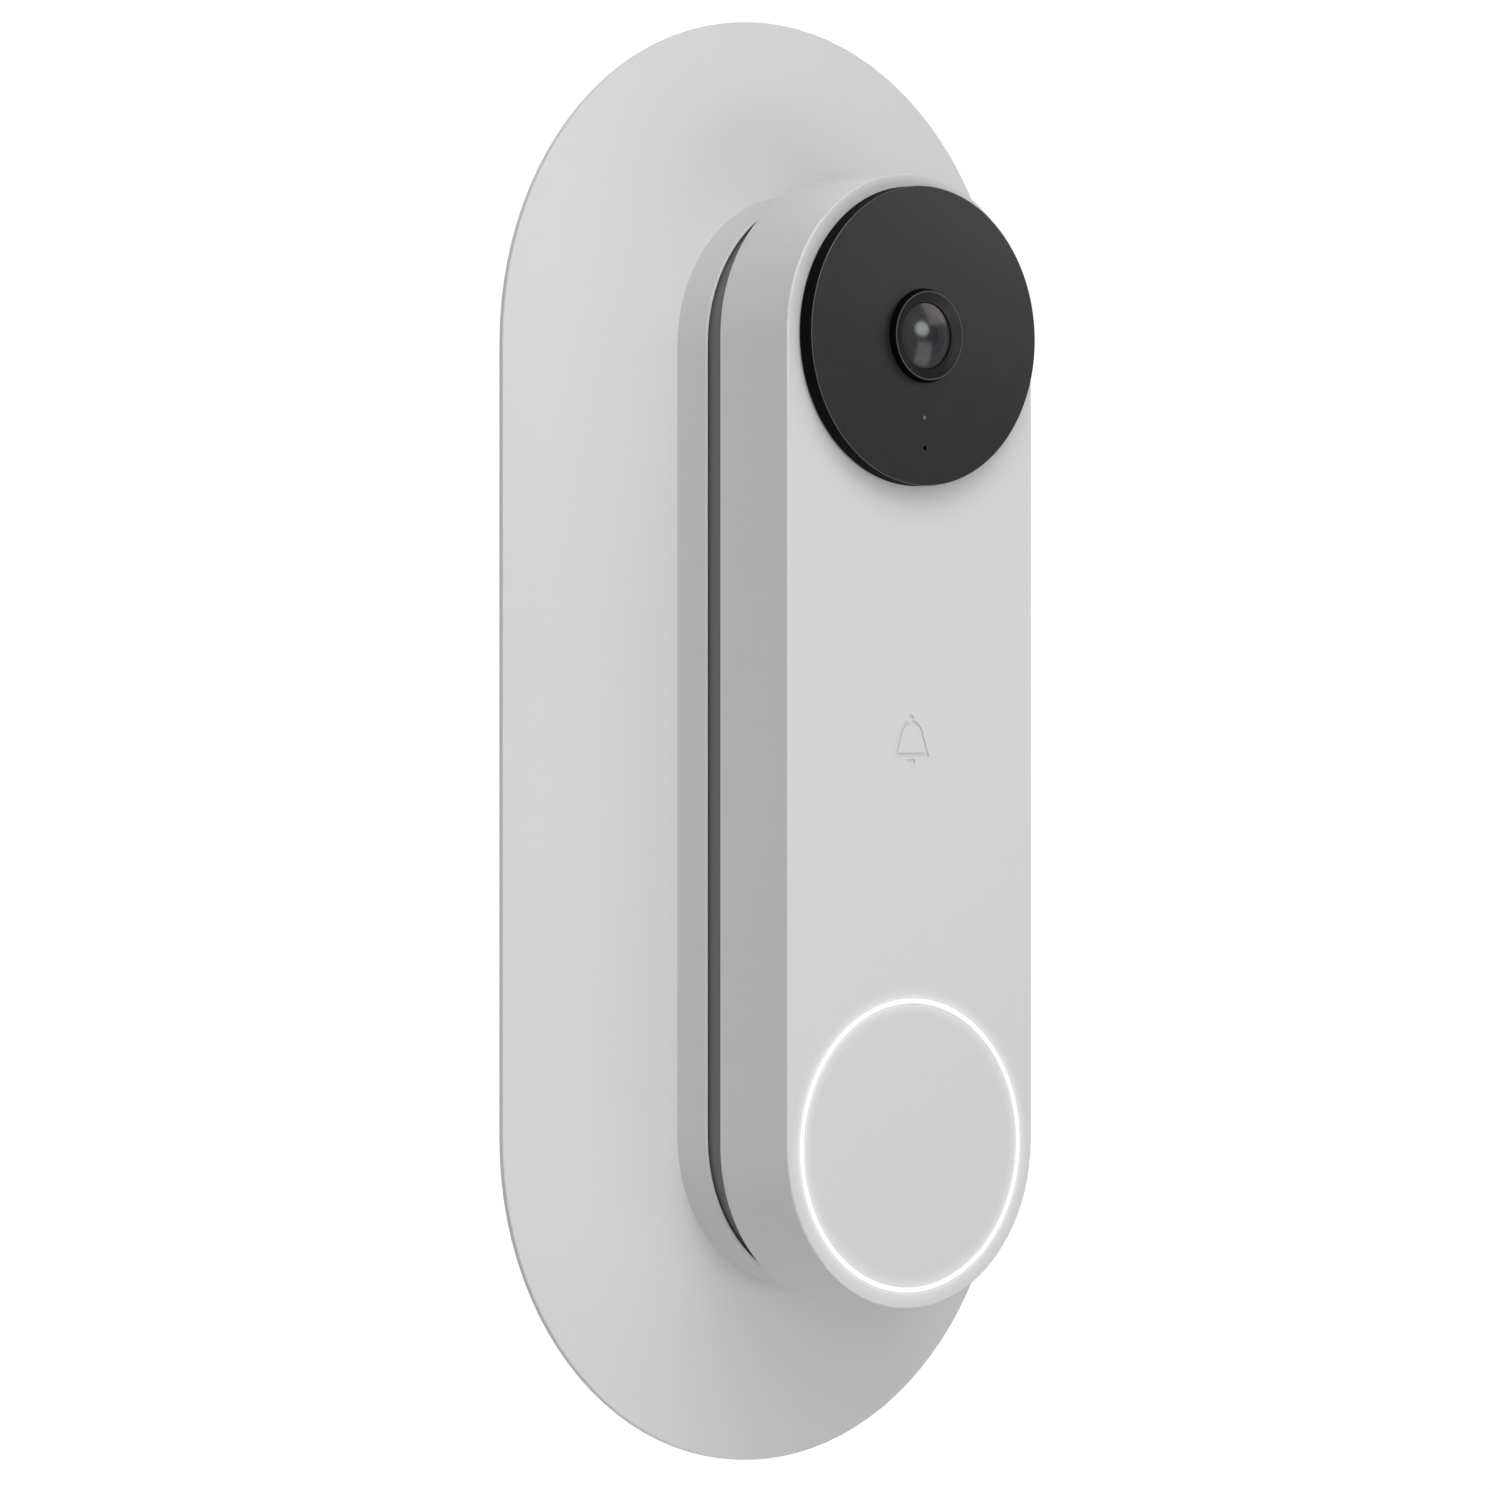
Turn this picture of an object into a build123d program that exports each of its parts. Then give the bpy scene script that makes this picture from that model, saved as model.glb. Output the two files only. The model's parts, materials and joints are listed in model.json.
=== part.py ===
from build123d import *
import math
import os

# A battery video doorbell on its wall trim plate. Millimetres, +Z up, the front faces -Y.
# The origin is the centre of the plate's contact with the wall, and a standoff is a distance
# from that wall, so a standoff of d lies at y = -d.

# ---- wall trim plate: a stadium swept round a spine that runs from z = -SPINE to z = +SPINE
SPINE = 55.9
PLATE_R = 47.5
PLATE_EDGE = 0.8            # height of the rim at the plate's edge
PLATE_EDGE_ROUND = 0.25
PLATE_SKIN = 2.0
PLATE_PAD = 6.0             # width of the flat that bears on the wall
FLANK_SAG = 0.82            # how far the flank dips under its own chord
COLLAR_R = 22.1
COLLAR_BASE = 8.6           # standoff of the crease where the flank meets the collar
COLLAR_TOP = 14.9
COLLAR_BORE_R = 21.6
COLLAR_SHELF_R = 21.1
COLLAR_SHELF_TOP = 12.4
LIP_CHAMFER = 0.4
FLOOR_BACK = COLLAR_BASE - PLATE_SKIN
WALL_HOLE_R = 2.2
WALL_HOLE_Z = 50.0
WALL_BOSS_R = 4.6
WIRE_HALF_WIDTH = 8.0
WIRE_BOTTOM = -6.0
WIRE_TOP = 18.0
PLATE_RIB = 1.4
PLATE_RIB_X = 27.0
PLATE_RIB_BACK = 1.0
PLATE_RIB_FRONT = 4.2
SCREW_BOSS_R = 3.4
SCREW_BOSS_BACK = 1.4
LIP_EDGE = 0.2              # the lip's outer edge is broken by this much
CUT = 1.0                   # how far a cut runs past the face it opens

# ---- mounting bracket in the collar
BRACKET_R = 20.9
BRACKET_FLOOR = 10.4
BRACKET_RIM_TOP = 12.6
BRACKET_RIM = 1.4
BRACKET_SCREW_Z = 34.0
BRACKET_SCREW_R = 1.25
BRACKET_HOLE_R = 1.6
BRACKET_RIB = 1.2
BRACKET_RIB_TOP = BRACKET_FLOOR + 1.4
BRACKET_RIBS_X = (-12.5, 12.5)
BRACKET_RIBS_Z = (-20.0, 26.0)
HOOK_HALF_WIDTH = 6.0
HOOK_PIVOT_Z = -73.2        # the round bar of the hook is the unit's tilt axis
HOOK_PIVOT_STANDOFF = 15.4
HOOK_BAR_R = 0.75
HOOK_STEM = (-71.5, -70.0)
HOOK_TOP = 16.0
HOOK_WEB_BACK = 14.95
PAD_R = 2.6
PAD_TOP = 12.9
PAD_X = 15.5
PAD_Z = 44.0
CLIP_HALF_WIDTH = 4.0
CLIP_SCREW_Z = 60.0

# ---- doorbell unit: its shell's spine is a little longer than the plate's
UNIT_SPINE = 57.0
SHELL_R = 23.0
SHELL_WALL = 2.0
SHELL_BACK = 18.85
SHELL_FRONT = 33.5
SHELL_EDGE = 0.25
SHELL_BACK_CHAMFER = 0.2
SHELL_BORE_R = SHELL_R - SHELL_WALL
SHELL_CEILING = SHELL_FRONT - SHELL_WALL
BAND_R = 21.35
BAND_WALL = 1.6
HOUSING_BACK = 13.0
HOUSING_WALL = 1.5
HOUSING_INSIDE = HOUSING_BACK + HOUSING_WALL
FLANGE_R = 20.9
FLANGE_TOP = 20.2
TONGUE_R = 19.9
TONGUE_BORE_R = 18.8
TONGUE_TOP = 22.0
POST_R = 3.0
POST_NECK_R = 2.6           # clears the seal round the tongue
POST_NECK_START = 19.6
POST_TOP = 21.9
BOSS_R = 2.7
PILOT_R = 0.9
MID_PILOT_END = 29.5
BOSS_START = 22.2
END_BOSS_TOP = 26.8
MID_SCREWS = [(x, z) for x in (-16.6, 16.6) for z in (-35.2, 35.2)]
END_SCREWS = [(x, z) for x in (-11.4, 11.4) for z in (-70.0, 70.0)]

# ---- camera end, centred on the shell's upper spine end
CAMERA_Z = UNIT_SPINE
WINDOW_R = 21.1
WINDOW_FRONT = 36.4
WINDOW_BACK = 31.8
WINDOW_SEAT = 33.6
WINDOW_BOSS_R = 19.3
WINDOW_HOLE_R = 19.5
BEZEL_R = 6.6
BEZEL_LIP_R = 6.3           # the bezel's wall leans in to its lip
BEZEL_FRONT = 37.4
DOME_R = 4.65
STATUS_Z = 45.5
MIC_Z = 41.2
SENSOR_BOARD_BACK = 29.6
SENSOR_BOARD_FRONT = 30.6
CAMERA_BOARD_BACK = 19.4
CAMERA_BOARD_FRONT = 20.6

# ---- button end, centred on the shell's lower spine end
BUTTON_Z = -UNIT_SPINE
RING_R = 20.9
RING_BORE_R = 19.95
RING_BACK = 29.2
RING_SHOULDER = 30.2
RING_SHOULDER_R = 16.4
BUTTON_R = 19.8
BUTTON_BACK = 31.9
STEM_TOP = 30.4             # clears the switch by more than the 0.5 mm travel
BUTTON_BOARD_BACK = 27.0
BUTTON_BOARD_FRONT = 28.2
GUIDE_CIRCLE_R = 11.0
GUIDE_PIN_R = 1.0
RING_LED_COUNT = 12
RING_LED_CIRCLE_R = 17.4

# ---- middle and lower electronics
BATTERY_HALF_WIDTH = 18.3
BATTERY_HALF_HEIGHT = 31.8
BATTERY_BACK = 16.2
BATTERY_FRONT = 30.6
MAIN_BOARD_BACK = 22.0
MAIN_BOARD_FRONT = 23.2
TERMINAL_Z = 41.0
TERMINAL_X = 4.2
USB_Z = -37.0
RESET_X = -11.5
RESET_Z = -37.0
VENT_X = -10.0
VENT_Z = 10.0
LATCH_PIN_STANDOFF = 17.0
LATCH_PIN_R = 0.8
SPEAKER_SLOTS = 5
SPEAKER_SLOT_PITCH = 3.2
SPEAKER_SLOT_Z = -58.0
MARK_DEPTH = 0.25


def block(x0, x1, z0, z1, d0, d1):
    """A box between two x, two z and two standoffs."""
    middle = Pos((x0 + x1) / 2, -(d0 + d1) / 2, (z0 + z1) / 2)
    return middle * Box(x1 - x0, d1 - d0, z1 - z0)


def post(x, z, radius, d0, d1):
    """A round bar standing out from the wall between two standoffs."""
    return Pos(x, -(d0 + d1) / 2, z) * Rot(90, 0, 0) * Cylinder(radius, d1 - d0)


def tube(x, z, outer, inner, d0, d1):
    return post(x, z, outer, d0, d1) - post(x, z, inner, d0, d1)


def stadium(radius, spine, d0, d1):
    """A stadium slab of the given end radius between two standoffs."""
    outline = Plane.XZ.offset(d0) * SlotCenterToCenter(2 * spine, 2 * radius, rotation=90)
    return extrude(outline, d1 - d0)


def stadium_tube(outer, inner, spine, d0, d1):
    return stadium(outer, spine, d0, d1) - stadium(inner, spine, d0, d1)


def sweep_stadium(section, spine):
    """Carry a half section (x from the spine, y = -standoff) round a stadium."""
    right = extrude(Pos(0, 0, -spine) * section, 2 * spine, dir=(0, 0, 1))
    left = mirror(right, about=Plane.YZ)
    end = revolve(section, axis=Axis.Y, revolution_arc=180)
    if end.bounding_box().max.Z < 1:
        end = mirror(end, about=Plane.XY)
    top = Pos(0, 0, spine) * end
    bottom = mirror(top, about=Plane.XY)
    return (right + left + top + bottom).clean()


def turned(points, x, z):
    """Turn an outline of (radius, standoff) points about a line that leaves the wall."""
    outline = make_face(Polyline(*[(r, -d) for r, d in points], close=True))
    return Pos(x, 0, z) * revolve(outline, axis=Axis.Y)


def strip(points, x0, x1):
    """Extrude a closed outline of (standoff, z) points across the width."""
    outline = Plane.YZ.offset(x0) * make_face(Polyline(*[(-d, z) for d, z in points], close=True))
    return extrude(outline, x1 - x0)


def rounded_block(x0, x1, z0, z1, d0, d1, radius):
    body = block(x0, x1, z0, z1, d0, d1)
    return fillet(body.edges().filter_by(Axis.Y), radius)


def polar(radius, degrees, z):
    angle = math.radians(degrees)
    return radius * math.cos(angle), z + radius * math.sin(angle)


def screw(x, z, head_r, head_d0, head_d1, shank_r, tip):
    """A cross-head screw whose head is towards head_d0 and whose tip is at standoff tip."""
    body = post(x, z, head_r, head_d0, head_d1)
    if tip < head_d0:
        body += post(x, z, shank_r, tip, head_d0)
        slot_d0, slot_d1 = head_d1 - 0.6, head_d1
    else:
        body += post(x, z, shank_r, head_d1, tip)
        slot_d0, slot_d1 = head_d0, head_d0 + 0.6
    arm = head_r * 0.6
    body -= block(x - arm, x + arm, z - 0.3, z + 0.3, slot_d0, slot_d1)
    body -= block(x - 0.3, x + 0.3, z - arm, z + arm, slot_d0, slot_d1)
    return body


def group(pieces):
    return Compound(children=list(pieces))


# ---------------------------------------------------------------- wall side

def flank_arc(start, finish, sag):
    """An arc that dips under its chord, from one (radius, standoff) point to another."""
    (r0, d0), (r1, d1) = start, finish
    length = math.hypot(r1 - r0, d1 - d0)
    across = (d1 - d0) / length, (r0 - r1) / length
    middle = (r0 + r1) / 2 - across[0] * sag, (d0 + d1) / 2 - across[1] * sag
    return ThreePointArc((r0, -d0), (middle[0], -middle[1]), (r1, -d1))


def plate_section():
    """Half section through the trim plate's rim, flank, collar and floor."""
    rim = PLATE_R, PLATE_EDGE
    crease = COLLAR_R, COLLAR_BASE
    pad = PLATE_R - PLATE_PAD, 0
    under = COLLAR_R + 0.4, FLOOR_BACK
    lip_r = COLLAR_BORE_R + 0.2
    edges = [
        Line((pad[0], 0), (PLATE_R, 0)),
        Line((PLATE_R, 0), (rim[0], -rim[1])),
        flank_arc(rim, crease, FLANK_SAG),
        Polyline(
            (crease[0], -crease[1]),
            (COLLAR_R, -(COLLAR_TOP - LIP_EDGE)),
            (COLLAR_R - LIP_EDGE, -COLLAR_TOP),
            (lip_r, -COLLAR_TOP),
            (COLLAR_BORE_R, -(COLLAR_TOP - LIP_CHAMFER)),
            (COLLAR_BORE_R, -COLLAR_SHELF_TOP),
            (COLLAR_SHELF_R, -COLLAR_SHELF_TOP),
            (COLLAR_SHELF_R, -COLLAR_BASE),
            (0, -COLLAR_BASE),
            (0, -FLOOR_BACK),
            (under[0], -under[1]),
        ),
        flank_arc(under, pad, -FLANK_SAG),
    ]
    face = make_face(edges)
    corner = face.vertices().sort_by_distance((rim[0], -rim[1], 0))[0]
    return fillet(corner, PLATE_EDGE_ROUND)


def wall_plate():
    plate = sweep_stadium(plate_section(), SPINE)
    for z in (-WALL_HOLE_Z, WALL_HOLE_Z):
        plate += post(0, z, WALL_BOSS_R, 0, FLOOR_BACK)
    for z in (-BRACKET_SCREW_Z, BRACKET_SCREW_Z):
        plate += post(0, z, SCREW_BOSS_R, SCREW_BOSS_BACK, FLOOR_BACK)
    half = PLATE_RIB / 2
    for x in (-PLATE_RIB_X, PLATE_RIB_X):
        plate += block(x - half, x + half, -SPINE, SPINE, PLATE_RIB_BACK, PLATE_RIB_FRONT)
    for z in (-WALL_HOLE_Z, WALL_HOLE_Z):
        plate -= post(0, z, WALL_HOLE_R, -CUT, COLLAR_BASE + CUT)
    for z in (-BRACKET_SCREW_Z, BRACKET_SCREW_Z):
        plate -= post(0, z, BRACKET_SCREW_R, SCREW_BOSS_BACK + 1.0, COLLAR_BASE + CUT)
    return plate - wire_passage(FLOOR_BACK, COLLAR_BASE)


def wire_passage(d0, d1):
    """The opening for the bell wires, cut from one standoff to another."""
    return block(-WIRE_HALF_WIDTH, WIRE_HALF_WIDTH, WIRE_BOTTOM, WIRE_TOP, d0 - CUT, d1 + CUT)


def mount_bracket():
    bracket = stadium(BRACKET_R, SPINE, COLLAR_BASE, BRACKET_FLOOR)
    rim = stadium_tube(BRACKET_R, BRACKET_R - BRACKET_RIM, SPINE, BRACKET_FLOOR, BRACKET_RIM_TOP)
    bracket += rim - block(-30, 30, -90, -64, 11.2, 14)
    for z in (-WALL_HOLE_Z, WALL_HOLE_Z):
        bracket += post(0, z, 4.4, BRACKET_FLOOR, BRACKET_FLOOR + 0.4)
    half = BRACKET_RIB / 2
    for x in BRACKET_RIBS_X:
        bracket += block(x - half, x + half, -40, 40, BRACKET_FLOOR, BRACKET_RIB_TOP)
    for z in BRACKET_RIBS_Z:
        bracket += block(*BRACKET_RIBS_X, z - half, z + half, BRACKET_FLOOR, BRACKET_RIB_TOP)
    bracket += hook()
    for z in (-WALL_HOLE_Z, WALL_HOLE_Z):
        bracket -= post(0, z, WALL_HOLE_R, COLLAR_BASE - CUT, BRACKET_FLOOR + CUT)
    for z in (-BRACKET_SCREW_Z, BRACKET_SCREW_Z):
        bracket -= post(0, z, BRACKET_HOLE_R, COLLAR_BASE - CUT, BRACKET_FLOOR + CUT)
    bracket -= post(0, CLIP_SCREW_Z, 1.05, COLLAR_BASE + 0.3, BRACKET_FLOOR + CUT)
    return bracket - wire_passage(COLLAR_BASE, BRACKET_FLOOR)


def hook():
    """A stem off the floor that carries a round bar, which the unit's foot tilts about."""
    width = 2 * HOOK_HALF_WIDTH
    bar = Rot(0, 90, 0) * Cylinder(HOOK_BAR_R, width)
    bar = Pos(0, -HOOK_PIVOT_STANDOFF, HOOK_PIVOT_Z) * bar
    stem = block(-HOOK_HALF_WIDTH, HOOK_HALF_WIDTH, *HOOK_STEM, BRACKET_FLOOR, HOOK_TOP)
    web = block(-HOOK_HALF_WIDTH, HOOK_HALF_WIDTH, HOOK_PIVOT_Z, HOOK_STEM[0], HOOK_WEB_BACK, HOOK_TOP)
    return bar + stem + web


def bracket_screws():
    return group(
        screw(0, z, 2.6, BRACKET_FLOOR, BRACKET_FLOOR + 1.8, 1.2, 2.8)
        for z in (-BRACKET_SCREW_Z, BRACKET_SCREW_Z)
    )


def rest_pads():
    places = [(x, z) for x in (-PAD_X, PAD_X) for z in (-PAD_Z, PAD_Z)]
    return group(post(x, z, PAD_R, BRACKET_FLOOR, PAD_TOP) for x, z in places)


def latch_clip():
    """A bent spring-steel leaf: foot on the bracket, rise, and a nose over the unit's ledge."""
    outline = [
        (10.4, 56.0), (10.4, 66.2), (14.75, 71.2), (14.75, 74.2),
        (15.15, 74.2), (15.15, 71.0), (10.8, 66.0), (10.8, 56.0),
    ]
    leaf = strip(outline, -CLIP_HALF_WIDTH, CLIP_HALF_WIDTH)
    return leaf - post(0, CLIP_SCREW_Z, 1.1, 10, 11.5)


def latch_screw():
    return screw(0, CLIP_SCREW_Z, 2.2, 10.8, 12.2, 1.0, COLLAR_BASE + 0.4)


# ---------------------------------------------------------------- unit's casing

def bell_mark():
    """A plain bell outline, 7 mm wide, engraved in the middle of the front."""
    dome = Pos(0, 0.6) * Circle(2.3)
    skirt = make_face(Polyline((-2.3, 0.8), (2.3, 0.8), (3.4, -2.2), (-3.4, -2.2), close=True))
    outer = dome + skirt
    core_dome = Pos(0, 0.6) * Circle(1.75)
    core_skirt = make_face(
        Polyline((-1.75, 0.8), (1.75, 0.8), (2.55, -1.65), (-2.55, -1.65), close=True)
    )
    line = outer - (core_dome + core_skirt)
    knob = Pos(0, 3.2) * Circle(0.5)
    clapper = Pos(0, -2.95) * Circle(0.75) - Pos(0, -1.8) * Rectangle(3, 1.5)
    return Plane.XZ.offset(SHELL_FRONT - MARK_DEPTH) * (line + knob + clapper)


def front_shell():
    shell = stadium(SHELL_R, UNIT_SPINE, SHELL_BACK, SHELL_FRONT)
    shell = fillet(shell.faces().sort_by(Axis.Y)[0].edges(), SHELL_EDGE)
    shell = chamfer(shell.faces().sort_by(Axis.Y)[-1].edges(), SHELL_BACK_CHAMFER)
    shell -= stadium(SHELL_BORE_R, UNIT_SPINE, SHELL_BACK - CUT, SHELL_CEILING)
    for x, z in MID_SCREWS:
        shell += post(x, z, BOSS_R, BOSS_START, SHELL_CEILING)
    for x, z in END_SCREWS:
        shell += post(x, z, BOSS_R, BOSS_START, END_BOSS_TOP)
        shell += end_rib(x, z)
    for x, z in MID_SCREWS:
        shell -= post(x, z, PILOT_R, BOSS_START - CUT, MID_PILOT_END)
    for x, z in END_SCREWS:
        shell -= post(x, z, PILOT_R, BOSS_START - CUT, END_BOSS_TOP + CUT)
    shell -= post(0, CAMERA_Z, WINDOW_HOLE_R, SHELL_CEILING - CUT, SHELL_FRONT + CUT)
    shell -= post(0, BUTTON_Z, RING_R + 0.05, SHELL_CEILING - CUT, SHELL_FRONT + CUT)
    shell -= extrude(bell_mark(), 1)
    return shell


def end_rib(x, z):
    """A web from an end boss out to the shell's wall."""
    centre = math.copysign(UNIT_SPINE, z)
    reach = math.hypot(x, z - centre)
    along = math.degrees(math.atan2(z - centre, x))
    middle = (reach + BOSS_R - 0.6 + SHELL_BORE_R + 0.5) / 2
    length = SHELL_BORE_R + 0.5 - (reach + BOSS_R - 0.6)
    web = Pos(middle, -(BOSS_START + END_BOSS_TOP) / 2, 0) * Box(length, END_BOSS_TOP - BOSS_START, 1.6)
    return Pos(0, 0, centre) * Rot(0, -along, 0) * web


def pocket(half_width, z0, z1, depth, wall):
    """A closed pocket on the inside of the housing's back, as its outer and inner boxes."""
    outer = block(-half_width - wall, half_width + wall, z0 - wall, z1 + wall, HOUSING_BACK, depth + wall)
    inner = block(-half_width, half_width, z0, z1, HOUSING_INSIDE, depth)
    return outer, inner


def rear_housing():
    band = stadium(BAND_R, SPINE, HOUSING_BACK, SHELL_BACK)
    band = chamfer(band.faces().sort_by(Axis.Y)[-1].edges(), 0.4)
    hollow = stadium(BAND_R - BAND_WALL, SPINE, HOUSING_INSIDE, SHELL_BACK + 1)
    housing = band - hollow
    housing += stadium_tube(FLANGE_R, TONGUE_BORE_R, UNIT_SPINE, SHELL_BACK, FLANGE_TOP)
    housing += stadium_tube(TONGUE_R, TONGUE_BORE_R, UNIT_SPINE, FLANGE_TOP, TONGUE_TOP)
    for x, z in MID_SCREWS + END_SCREWS:
        housing += post(x, z, POST_R, HOUSING_BACK + 0.5, POST_NECK_START)
        housing += post(x, z, POST_NECK_R, POST_NECK_START, POST_TOP)
    outline = stadium(BAND_R, SPINE, HOUSING_BACK, 30)
    hook_outer, hook_inner = pocket(7.0, -75.0, -66.0, 17.5, 1.0)
    latch_outer, latch_inner = pocket(5.5, 64.0, 75.3, 18.0, 0.9)
    housing += (hook_outer & outline) + (latch_outer & outline)
    housing -= hook_inner + latch_inner
    housing -= block(-7.0, 7.0, -72.3, -66.0, HOUSING_BACK - CUT, HOUSING_INSIDE + CUT)
    housing -= block(-5.5, 5.5, 64.0, 73.0, HOUSING_BACK - CUT, HOUSING_INSIDE + CUT)
    housing -= Pos(0, -LATCH_PIN_STANDOFF, 77) * Cylinder(LATCH_PIN_R, 4.5)
    for x, z in MID_SCREWS + END_SCREWS:
        housing -= post(x, z, 2.4, HOUSING_BACK - 1, HOUSING_BACK + 2.4)
        housing -= post(x, z, 1.3, HOUSING_BACK, TONGUE_TOP + 1)
    housing -= block(-8.0, 8.0, TERMINAL_Z - 3.5, TERMINAL_Z + 3.5, HOUSING_BACK - CUT, HOUSING_INSIDE + CUT)
    housing -= usb_outline(4.7, 1.8, HOUSING_BACK - CUT, HOUSING_INSIDE + CUT)
    housing -= post(RESET_X, RESET_Z, 1.7, HOUSING_BACK - CUT, HOUSING_INSIDE + CUT)
    housing -= post(VENT_X, VENT_Z, 0.8, HOUSING_BACK - CUT, HOUSING_INSIDE + CUT)
    for row in range(SPEAKER_SLOTS):
        z = SPEAKER_SLOT_Z + SPEAKER_SLOT_PITCH * row
        housing -= block(-8, 8, z - 0.6, z + 0.6, HOUSING_BACK - CUT, HOUSING_INSIDE + CUT)
    return housing


def housing_seal():
    return stadium_tube(FLANGE_R, TONGUE_R + 0.05, UNIT_SPINE, FLANGE_TOP, 21.4)


def housing_screws():
    return group(
        screw(x, z, 2.2, HOUSING_BACK + 0.6, HOUSING_BACK + 2.4, 0.88, 26.0)
        for x, z in MID_SCREWS + END_SCREWS
    )


def vent_membrane():
    return post(VENT_X, VENT_Z, 3.0, HOUSING_INSIDE, HOUSING_INSIDE + 0.3)


# ---------------------------------------------------------------- camera end

def camera_window():
    """The black front disc, with its spigot, lens hole, status light hole and sound hole."""
    window = turned(
        [
            (BEZEL_R + 0.05, WINDOW_BACK), (WINDOW_BOSS_R, WINDOW_BACK), (WINDOW_BOSS_R, WINDOW_SEAT),
            (WINDOW_R, WINDOW_SEAT), (WINDOW_R, WINDOW_FRONT - 0.3),
            (WINDOW_R - 0.3, WINDOW_FRONT), (BEZEL_R + 0.05, WINDOW_FRONT),
        ],
        0, CAMERA_Z,
    )
    window -= post(0, STATUS_Z, 0.3, WINDOW_BACK - 1, WINDOW_FRONT + 1)
    window -= post(0, STATUS_Z, 0.9, WINDOW_BACK - 1, 34.0)
    window -= post(0, MIC_Z, 0.3, WINDOW_BACK - 1, WINDOW_FRONT + 1)
    return window


def window_adhesive():
    return tube(0, CAMERA_Z, 20.8, 19.7, SHELL_FRONT, WINDOW_SEAT)


def lens_bezel():
    """A ring proud of the window, with a cone that runs in to the dome glass."""
    return turned(
        [
            (4.0, 33.0), (BEZEL_R, 33.0), (BEZEL_R, WINDOW_FRONT),
            (BEZEL_LIP_R, BEZEL_FRONT - 0.15), (BEZEL_LIP_R - 0.15, BEZEL_FRONT),
            (6.0, BEZEL_FRONT), (5.1, 36.9), (DOME_R + 0.05, 36.75), (DOME_R + 0.05, 35.2), (4.0, 35.2),
        ],
        0, CAMERA_Z,
    )


def spherical_arc(radius, edge, bulge):
    """An arc from the lens axis out to its edge, centred on the axis (a negative bulge is hollow)."""
    sphere = (radius**2 + bulge**2) / (2 * abs(bulge))
    half = radius / 2
    height = math.sqrt(sphere**2 - half**2) - (sphere - abs(bulge))
    shoulder = edge + math.copysign(height, bulge)
    return ThreePointArc((0, -(edge + bulge)), (half, -shoulder), (radius, -edge))


def lens_solid(radius, back, front, back_bulge, front_bulge):
    """A round glass between two standoffs at its edge, each face bulging along the standoff."""
    outline = make_face(
        [
            spherical_arc(radius, front, front_bulge),
            Line((radius, -front), (radius, -back)),
            spherical_arc(radius, back, back_bulge),
            Line((0, -(back + back_bulge)), (0, -(front + front_bulge))),
        ]
    )
    return Pos(0, 0, CAMERA_Z) * revolve(outline, axis=Axis.Y)


def lens_dome():
    return lens_solid(DOME_R, 35.2, 36.6, 0.3, 0.75)


def lens_barrel():
    barrel = tube(0, CAMERA_Z, 5.6, 4.2, 23.4, 32.6)
    barrel += tube(0, CAMERA_Z, 6.6, 5.5, 29.9, 31.3)
    return barrel


def lens_elements():
    return group(
        [
            lens_solid(4.15, 30.2, 31.4, 0.4, 0.7),
            lens_solid(4.15, 27.4, 28.6, -0.5, 0.5),
            lens_solid(4.15, 24.4, 25.6, 0.4, -0.4),
        ]
    )


def lens_holder():
    holder = rounded_block(-9, 9, CAMERA_Z - 9, CAMERA_Z + 9, CAMERA_BOARD_FRONT, 26.0, 1.2)
    holder -= block(-5.4, 5.4, CAMERA_Z - 5.4, CAMERA_Z + 5.4, CAMERA_BOARD_FRONT - 1, 23.2)
    holder -= post(0, CAMERA_Z, 5.65, 23, 27)
    return holder


def ir_filter():
    return block(-5.2, 5.2, CAMERA_Z - 5.2, CAMERA_Z + 5.2, 22.4, 22.8)


def image_sensor():
    return block(-4.8, 4.8, CAMERA_Z - 4.8, CAMERA_Z + 4.8, CAMERA_BOARD_FRONT, 21.8)


def camera_board():
    return rounded_block(-13, 13, 47.5, 66.5, CAMERA_BOARD_BACK, CAMERA_BOARD_FRONT, 1.0)


def sensor_board():
    board = tube(0, CAMERA_Z, 17.5, 7.0, SENSOR_BOARD_BACK, SENSOR_BOARD_FRONT)
    return board - post(0, MIC_Z, 0.4, SENSOR_BOARD_BACK - 1, SENSOR_BOARD_FRONT + 1)


def ir_leds():
    pieces = []
    for degrees in (35, 145, 215, 325):
        x, z = polar(12.0, degrees, CAMERA_Z)
        lamp = block(x - 1.6, x + 1.6, z - 1.6, z + 1.6, SENSOR_BOARD_FRONT, 31.2)
        pieces.append(lamp + post(x, z, 1.3, 31.2, 31.6))
    return group(pieces)


def status_led():
    return block(-0.8, 0.8, STATUS_Z - 0.5, STATUS_Z + 0.5, SENSOR_BOARD_FRONT, 31.2)


def light_pipe():
    return post(0, STATUS_Z, 0.85, 31.3, 33.95) + post(0, STATUS_Z, 0.28, 33.95, WINDOW_FRONT - 0.05)


def microphone():
    return block(-1.75, 1.75, MIC_Z - 1.3, MIC_Z + 1.3, 28.5, SENSOR_BOARD_BACK)


def mic_gasket():
    return tube(0, MIC_Z, 1.4, 0.4, SENSOR_BOARD_FRONT, WINDOW_BACK)


def sensor_flex():
    """A ribbon from the sensor board back to the camera board."""
    outline = [
        (CAMERA_BOARD_FRONT, 47.9), (CAMERA_BOARD_FRONT, 46.9), (SENSOR_BOARD_BACK, 46.9),
        (SENSOR_BOARD_BACK, 47.1), (CAMERA_BOARD_FRONT + 0.2, 47.1), (CAMERA_BOARD_FRONT + 0.2, 47.9),
    ]
    return strip(outline, -3, 3)


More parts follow.
